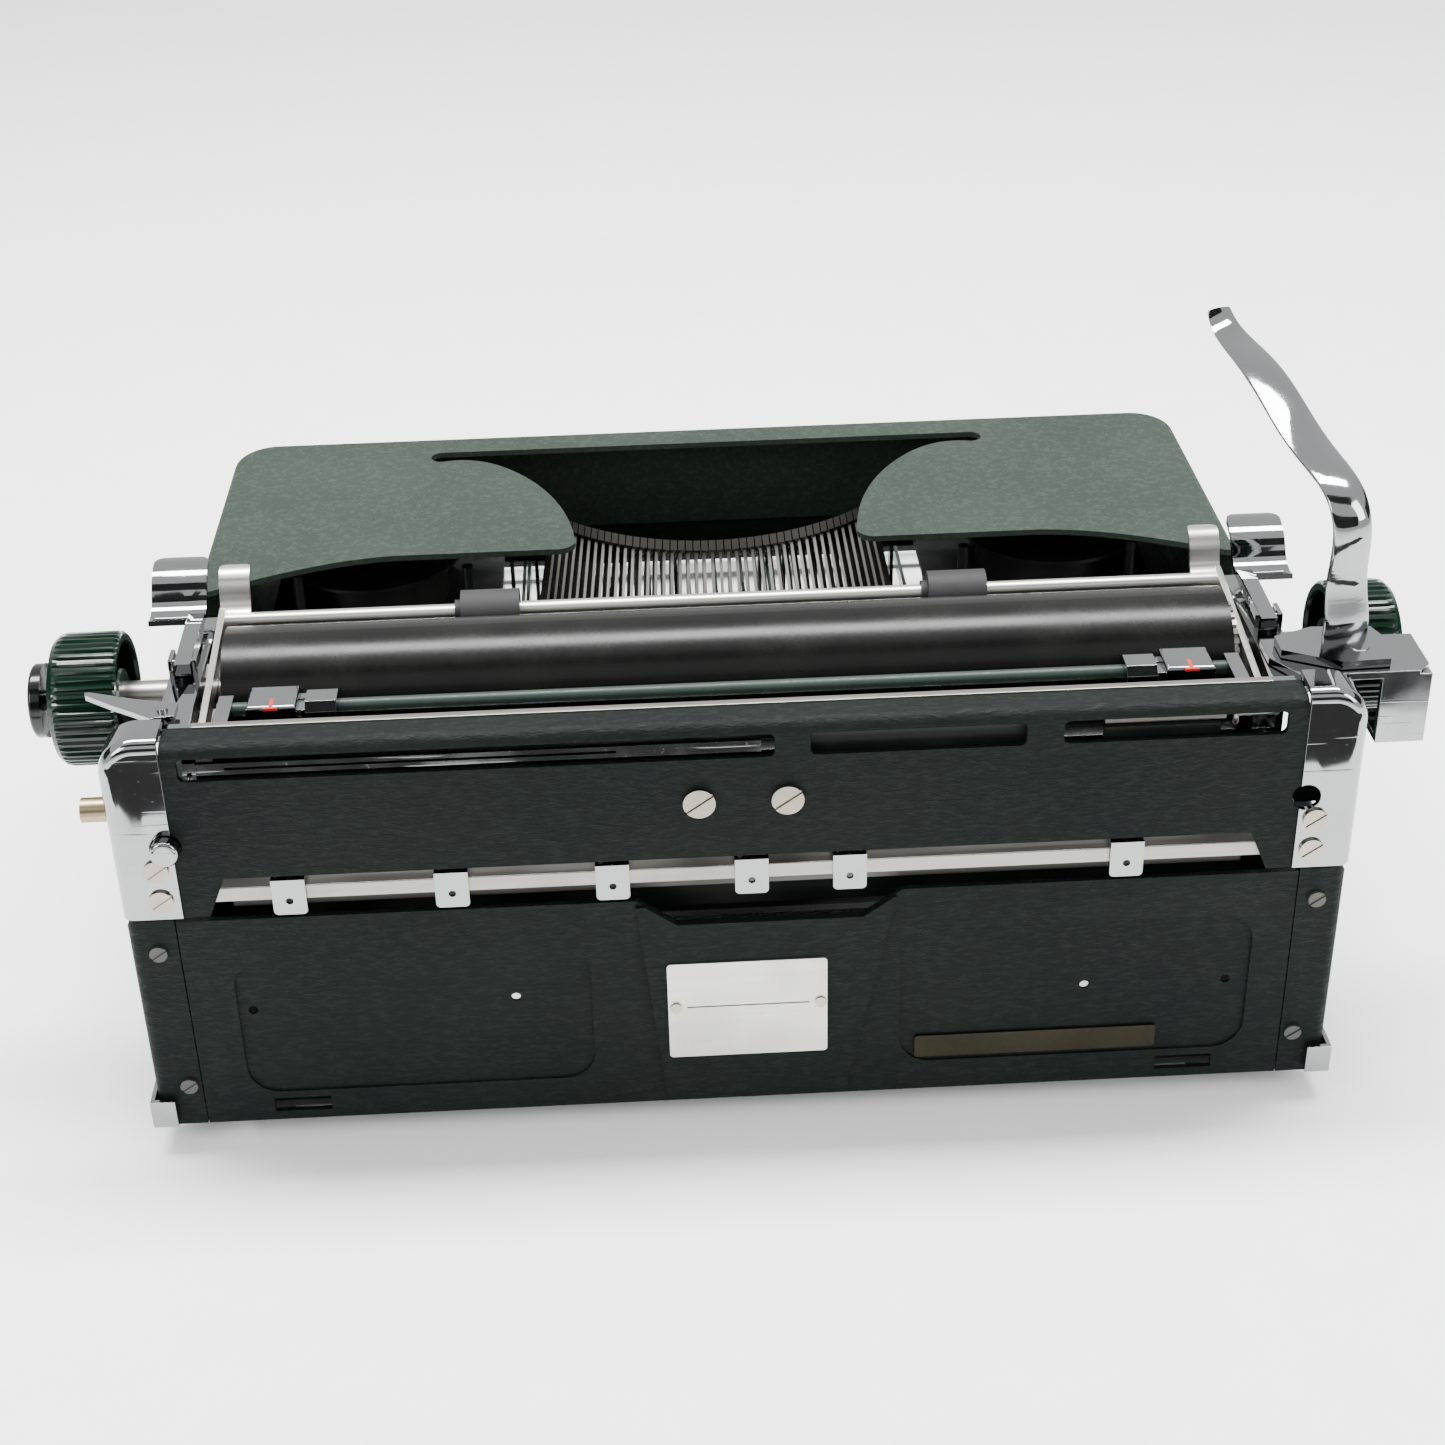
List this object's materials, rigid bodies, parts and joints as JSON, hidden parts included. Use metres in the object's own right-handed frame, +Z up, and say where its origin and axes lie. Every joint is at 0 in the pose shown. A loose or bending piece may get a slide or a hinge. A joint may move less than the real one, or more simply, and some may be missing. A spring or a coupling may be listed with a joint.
{
  "type": "portable typewriter",
  "caption": "Portable manual typewriter with lifting carriage, return lever, tab stops, paper bail, hinged ribbon cover and keyboard.",
  "frame": {"origin": "bottom centre of the whole machine's box, on the table", "axes": "+X to the typist's right along the platen, +Y to the rear, +Z up"},
  "size_m": [0.3418, 0.3242, 0.1808],
  "materials": {
    "body_paint": "fine wrinkle",
    "cover_paint": "fine wrinkle",
    "frame_steel": "satin black",
    "bright_steel": "brushed",
    "chrome": "polished",
    "screw_nickel": "nickel",
    "screw_black": "blacked",
    "brass": "dull",
    "platen_rubber": "smooth",
    "margin_green": "satin",
    "knob_plastic": "glossy dark green",
    "key_plastic": "glossy"
  },
  "bodies": {
    "body": {"base_frame": "frame_steel", "rear_panel": "body_paint", "side_shell_left": "body_paint", "side_shell_right": "body_paint", "front_shell": "body_paint", "rubber_feet": "platen_rubber", "corner_clips": "chrome", "shell_screws": "screw_black", "label_plate": "bright_steel", "label_rivets": "screw_nickel", "strip_plate": "body_paint", "type_segment": "bright_steel", "type_bars": "bright_steel", "type_guide": "frame_steel"},
    "ribbon_cover": {"ribbon_cover": "cover_paint"},
    "spool_left": {"ribbon_spool_left": "screw_black"},
    "spool_right": {"ribbon_spool_right": "screw_black"},
    "back_keys": {"keys_back_rows": "key_plastic"},
    "front_keys": {"keys_front_rows": "key_plastic"},
    "center_key": {"center_key": "key_plastic"},
    "center_bar": {"center_type_bar": "bright_steel"},
    "shift_keys": {"shift_keys": "key_plastic"},
    "shift_lock": {"shift_lock_key": "key_plastic"},
    "backspace": {"backspace_key": "key_plastic"},
    "tab_key": {"tab_key": "key_plastic"},
    "space_bar": {"space_bar": "key_plastic"},
    "drum": {"mainspring_drum": "frame_steel"},
    "truck": {"carriage_truck": "bright_steel", "tab_bar": "bright_steel"},
    "carriage": {"rear_cover": "body_paint", "end_plate_left": "chrome", "end_plate_right": "chrome", "carriage_frame": "bright_steel", "margin_rail": "margin_green", "carriage_screws": "screw_nickel", "lever_base": "chrome", "paper_pan": "frame_steel"},
    "platen": {"platen": "platen_rubber", "platen_shaft": "bright_steel", "knob_left": "knob_plastic", "knob_right": "knob_plastic"},
    "platen_button": {"platen_button": "knob_plastic"},
    "bail": {"bail_frame": "bright_steel"},
    "bail_roller_left": {"bail_roller_left": "platen_rubber"},
    "bail_roller_right": {"bail_roller_right": "platen_rubber"},
    "return_lever": {"return_lever": "chrome"},
    "release_left": {"carriage_release_left": "chrome"},
    "release_right": {"carriage_release_right": "chrome"},
    "paper_release": {"paper_release_lever": "chrome"},
    "margin_left": {"margin_stop_left": "chrome"},
    "margin_right": {"margin_stop_right": "chrome"},
    "paper_support": {"paper_support": "chrome"},
    "lock_button": {"lock_button": "chrome"},
    "thumb_screw": {"thumb_screw": "brass"},
    "tab_stop_1": {"tab_stop_1": "chrome"},
    "tab_stop_2": {"tab_stop_2": "chrome"},
    "tab_stop_3": {"tab_stop_3": "chrome"},
    "tab_stop_4": {"tab_stop_4": "chrome"},
    "tab_stop_5": {"tab_stop_5": "chrome"},
    "tab_stop_6": {"tab_stop_6": "chrome"}
  },
  "joints": [
    {"name": "ribbon_cover_hinge", "type": "hinge", "parent": "body", "child": "ribbon_cover", "pos_m": [-0.0029, -0.0381, 0.0784], "axis": [1, 0, 0], "range_deg": [0, 60]},
    {"name": "spool_left_spin", "type": "hinge", "parent": "body", "child": "spool_left", "pos_m": [-0.1009, 0.0159, 0.084], "axis": [0, 0, 1], "continuous": true},
    {"name": "spool_right_spin", "type": "hinge", "parent": "body", "child": "spool_right", "pos_m": [0.0951, 0.0159, 0.084], "axis": [0, 0, 1], "continuous": true},
    {"name": "back_keys_press", "type": "hinge", "parent": "body", "child": "back_keys", "pos_m": [-0.0029, 0.0439, 0.023], "axis": [1, 0, 0], "range_deg": [0, 4], "stiffness_Nm_per_rad": 3, "springref_deg": -8.59},
    {"name": "front_keys_press", "type": "hinge", "parent": "body", "child": "front_keys", "pos_m": [-0.0029, 0.0439, 0.023], "axis": [1, 0, 0], "range_deg": [0, 4], "stiffness_Nm_per_rad": 3, "springref_deg": -8.59},
    {"name": "center_key_press", "type": "hinge", "parent": "body", "child": "center_key", "pos_m": [-0.0029, 0.0439, 0.023], "axis": [1, 0, 0], "range_deg": [0, 4], "stiffness_Nm_per_rad": 0.4, "springref_deg": -8.59},
    {"name": "backspace_press", "type": "hinge", "parent": "body", "child": "backspace", "pos_m": [-0.0029, 0.0439, 0.023], "axis": [1, 0, 0], "range_deg": [0, 4], "stiffness_Nm_per_rad": 0.3, "springref_deg": -8.59},
    {"name": "tab_key_press", "type": "hinge", "parent": "body", "child": "tab_key", "pos_m": [-0.0029, 0.0439, 0.023], "axis": [1, 0, 0], "range_deg": [0, 4], "stiffness_Nm_per_rad": 0.3, "springref_deg": -8.59},
    {"name": "shift_lock_press", "type": "hinge", "parent": "body", "child": "shift_lock", "pos_m": [-0.0029, 0.0439, 0.023], "axis": [1, 0, 0], "range_deg": [0, 4], "stiffness_Nm_per_rad": 0.3, "springref_deg": -8.59},
    {"name": "center_bar_swing", "type": "hinge", "parent": "body", "child": "center_bar", "pos_m": [-0.0029, 0.0619, 0.0305], "axis": [1, 0, 0], "range_deg": [-60.3, 0]},
    {"name": "space_bar_press", "type": "hinge", "parent": "body", "child": "space_bar", "pos_m": [-0.0029, 0.0289, 0.017], "axis": [1, 0, 0], "range_deg": [0, 3], "stiffness_Nm_per_rad": 1, "springref_deg": -8.59},
    {"name": "carriage_slide", "type": "slide", "parent": "body", "child": "truck", "axis": [1, 0, 0], "range_m": [-0.115, 0.115]},
    {"name": "drum_turn", "type": "hinge", "parent": "body", "child": "drum", "pos_m": [0.0931, 0.1019, 0.042], "axis": [0, 0, 1], "range_deg": [-270, 270]},
    {"name": "carriage_shift", "type": "slide", "parent": "truck", "child": "carriage", "axis": [0, 0, 1], "range_m": [0, 0.0065]},
    {"name": "shift_keys_press", "type": "hinge", "parent": "body", "child": "shift_keys", "pos_m": [-0.0029, 0.0389, 0.0175], "axis": [1, 0, 0], "range_deg": [0, 3.3]},
    {"name": "tab_stop_1_slide", "type": "slide", "parent": "truck", "child": "tab_stop_1", "axis": [1, 0, 0], "range_m": [-0.015, 0.008]},
    {"name": "tab_stop_2_slide", "type": "slide", "parent": "truck", "child": "tab_stop_2", "axis": [1, 0, 0], "range_m": [-0.015, 0.015]},
    {"name": "tab_stop_3_slide", "type": "slide", "parent": "truck", "child": "tab_stop_3", "axis": [1, 0, 0], "range_m": [-0.012, 0.015]},
    {"name": "tab_stop_4_slide", "type": "slide", "parent": "truck", "child": "tab_stop_4", "axis": [1, 0, 0], "range_m": [-0.007, 0.012]},
    {"name": "tab_stop_5_slide", "type": "slide", "parent": "truck", "child": "tab_stop_5", "axis": [1, 0, 0], "range_m": [-0.025, 0.007]},
    {"name": "tab_stop_6_slide", "type": "slide", "parent": "truck", "child": "tab_stop_6", "axis": [1, 0, 0], "range_m": [-0.024, 0.025]},
    {"name": "platen_turn", "type": "hinge", "parent": "carriage", "child": "platen", "pos_m": [-0.0029, 0.1109, 0.1075], "axis": [1, 0, 0], "continuous": true},
    {"name": "platen_button_press", "type": "slide", "parent": "platen", "child": "platen_button", "axis": [-1, 0, 0], "range_m": [0, 0.0025], "stiffness_N_per_m": 400, "springref_m": -0.003},
    {"name": "bail_lift", "type": "hinge", "parent": "carriage", "child": "bail", "pos_m": [-0.0029, 0.1339, 0.1105], "axis": [1, 0, 0], "range_deg": [-50, 0]},
    {"name": "bail_roller_left_spin", "type": "hinge", "parent": "bail", "child": "bail_roller_left", "pos_m": [-0.0629, 0.0909, 0.1172], "axis": [1, 0, 0], "continuous": true},
    {"name": "bail_roller_right_spin", "type": "hinge", "parent": "bail", "child": "bail_roller_right", "pos_m": [0.0571, 0.0909, 0.1172], "axis": [1, 0, 0], "continuous": true},
    {"name": "return_lever_swing", "type": "hinge", "parent": "carriage", "child": "return_lever", "pos_m": [-0.1549, 0.1369, 0.1193], "axis": [0, 0, 1], "range_deg": [0, 32], "stiffness_Nm_per_rad": 0.4, "springref_deg": -11.46},
    {"name": "carriage_release_left_lift", "type": "hinge", "parent": "carriage", "child": "release_left", "pos_m": [-0.1369, 0.1159, 0.1192], "axis": [1, 0, 0], "range_deg": [-10, 0], "stiffness_Nm_per_rad": 0.2, "springref_deg": 14.32},
    {"name": "carriage_release_right_lift", "type": "hinge", "parent": "carriage", "child": "release_right", "pos_m": [0.1311, 0.1159, 0.1192], "axis": [1, 0, 0], "range_deg": [-10, 0], "stiffness_Nm_per_rad": 0.2, "springref_deg": 14.32},
    {"name": "paper_release_swing", "type": "hinge", "parent": "carriage", "child": "paper_release", "pos_m": [0.1333, 0.1399, 0.1189], "axis": [0, 0, 1], "range_deg": [-15, 0]},
    {"name": "margin_left_slide", "type": "slide", "parent": "carriage", "child": "margin_left", "axis": [1, 0, 0], "range_m": [0, 0.085]},
    {"name": "margin_right_slide", "type": "slide", "parent": "carriage", "child": "margin_right", "axis": [1, 0, 0], "range_m": [-0.085, 0]},
    {"name": "paper_support_swing", "type": "hinge", "parent": "carriage", "child": "paper_support", "pos_m": [0.1251, 0.15765, 0.11385], "axis": [0, 0.7071, -0.7071], "range_deg": [0, 90]},
    {"name": "lock_button_press", "type": "slide", "parent": "carriage", "child": "lock_button", "axis": [0, -1, 0], "range_m": [0, 0.003], "stiffness_N_per_m": 300, "springref_m": -0.003},
    {"name": "thumb_screw_turn", "type": "hinge", "parent": "carriage", "child": "thumb_screw", "pos_m": [0.1468, 0.1514, 0.1], "axis": [1, 0, 0], "continuous": true}
  ],
  "couplings": [
    {"joint": "center_bar_swing", "follows": "center_key_press", "ratio": -15.05},
    {"joint": "drum_turn", "follows": "carriage_slide", "rad_per_m": 40.816},
    {"joint": "shift_keys_press", "follows": "carriage_shift", "rad_per_m": 8.5924}
  ]
}
